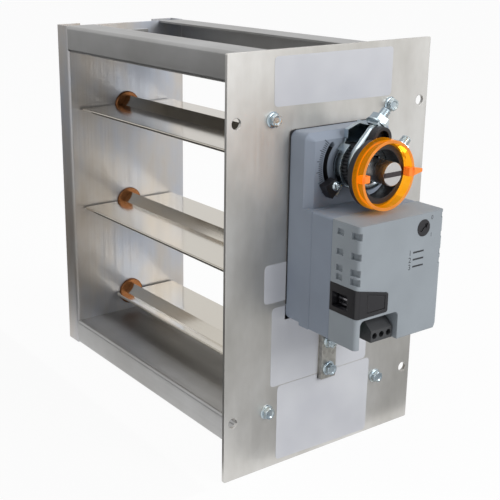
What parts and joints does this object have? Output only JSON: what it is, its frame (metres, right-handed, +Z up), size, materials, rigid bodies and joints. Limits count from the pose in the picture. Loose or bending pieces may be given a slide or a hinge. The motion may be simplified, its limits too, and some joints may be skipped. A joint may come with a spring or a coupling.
{
  "type": "volume control damper",
  "caption": "Plug-in air volume control damper: parallel blades in a channel casing behind a cover plate, linked by cranks and turned by a clamped-on rotary actuator.",
  "frame": {"origin": "centre of the cover plate's outer face, which is the centre of its four fixing holes", "axes": "+X out of the duct through the cover plate, along the blade shafts; +Y along the air flow, so -Y is the side shown as the front; +Z up"},
  "size_m": [0.3124, 0.1566, 0.26],
  "materials": {
    "cover_sheet": "galvanised sheet, fine satin grain",
    "casing_sheet": "galvanised sheet, brushed along the height",
    "blade_aluminium": "extruded aluminium, near mirror",
    "bush_bronze": "sintered bronze, satin",
    "shaft_steel": "turned steel, satin",
    "zinc_steel": "zinc plated, blue passivated",
    "strap_steel": "galvanised strip",
    "case_plastic": "fine moulded grain",
    "black_plastic": "satin black moulding",
    "terminal_plastic": "dark grey moulding",
    "board_green": "solder resist",
    "contact_metal": "tinned contacts",
    "ring_orange": "translucent orange moulding"
  },
  "bodies": {
    "frame": {"actuator_base": "case_plastic", "actuator_cover": "case_plastic", "anti_rotation_strap": "strap_steel", "bottom_channel": "casing_sheet", "casing_rivets": "zinc_steel", "circuit_board": "board_green", "corner_surround": "black_plastic", "cover_plate": "cover_sheet", "left_bushes": "bush_bronze", "left_side_channel": "casing_sheet", "middle_shell": "case_plastic", "plate_screws": "zinc_steel", "right_bushes": "bush_bronze", "right_side_channel": "casing_sheet", "service_contacts": "contact_metal", "strap_screws": "zinc_steel", "terminal_block": "terminal_plastic", "top_channel": "casing_sheet"},
    "drive": {"clamp_bracket": "zinc_steel", "clamp_jaw": "zinc_steel", "clamp_nuts": "zinc_steel", "drive_shaft": "shaft_steel", "indicator_collar": "black_plastic", "indicator_ring": "ring_orange", "spindle_driver": "black_plastic", "u_bolt": "zinc_steel", "upper_blade": "blade_aluminium", "upper_crank": "zinc_steel", "upper_left_stub": "shaft_steel"},
    "middle_blade_set": {"middle_blade": "blade_aluminium", "middle_crank": "zinc_steel", "middle_left_stub": "shaft_steel", "middle_right_stub": "shaft_steel"},
    "lower_blade_set": {"lower_blade": "blade_aluminium", "lower_crank": "zinc_steel", "lower_left_stub": "shaft_steel", "lower_right_stub": "shaft_steel"},
    "link": {"link_bar": "zinc_steel", "link_clips": "zinc_steel", "link_pins": "zinc_steel"},
    "left_stop": {"left_end_stop": "black_plastic", "left_stop_screw": "zinc_steel"},
    "right_stop": {"right_end_stop": "black_plastic", "right_stop_screw": "zinc_steel"},
    "button": {"release_button": "black_plastic"},
    "dial": {"direction_dial": "black_plastic"}
  },
  "joints": [
    {"name": "blade_drive", "type": "hinge", "parent": "frame", "child": "drive", "pos_m": [-0.127, -0.002, 0.0635], "axis": [1, 0, 0], "range_deg": [0, 88]},
    {"name": "middle_blade_pivot", "type": "hinge", "parent": "frame", "child": "middle_blade_set", "pos_m": [-0.127, -0.002, -0.01425], "axis": [1, 0, 0], "range_deg": [0, 88]},
    {"name": "lower_blade_pivot", "type": "hinge", "parent": "frame", "child": "lower_blade_set", "pos_m": [-0.127, -0.002, -0.092], "axis": [1, 0, 0], "range_deg": [0, 88]},
    {"name": "link_pivot", "type": "hinge", "parent": "drive", "child": "link", "pos_m": [-0.0105, 0.01383, 0.04822], "axis": [1, 0, 0], "range_deg": [-88, 0]},
    {"name": "left_stop_arc", "type": "hinge", "parent": "frame", "child": "left_stop", "pos_m": [0.02, -0.002, 0.0635], "axis": [1, 0, 0], "range_deg": [-33, 0]},
    {"name": "right_stop_arc", "type": "hinge", "parent": "frame", "child": "right_stop", "pos_m": [0.02, -0.002, 0.0635], "axis": [1, 0, 0], "range_deg": [0, 26]},
    {"name": "release_press", "type": "slide", "parent": "frame", "child": "button", "axis": [-1, 0, 0], "range_m": [0, 0.002], "stiffness_N_per_m": 250, "springref_m": -0.002},
    {"name": "direction_turn", "type": "hinge", "parent": "frame", "child": "dial", "pos_m": [0.058, 0.0165, 0.0315], "axis": [1, 0, 0], "range_deg": [-76, 0]}
  ],
  "couplings": [
    {"joint": "middle_blade_pivot", "follows": "blade_drive", "ratio": 1},
    {"joint": "lower_blade_pivot", "follows": "blade_drive", "ratio": 1},
    {"joint": "link_pivot", "follows": "blade_drive", "ratio": -1}
  ]
}
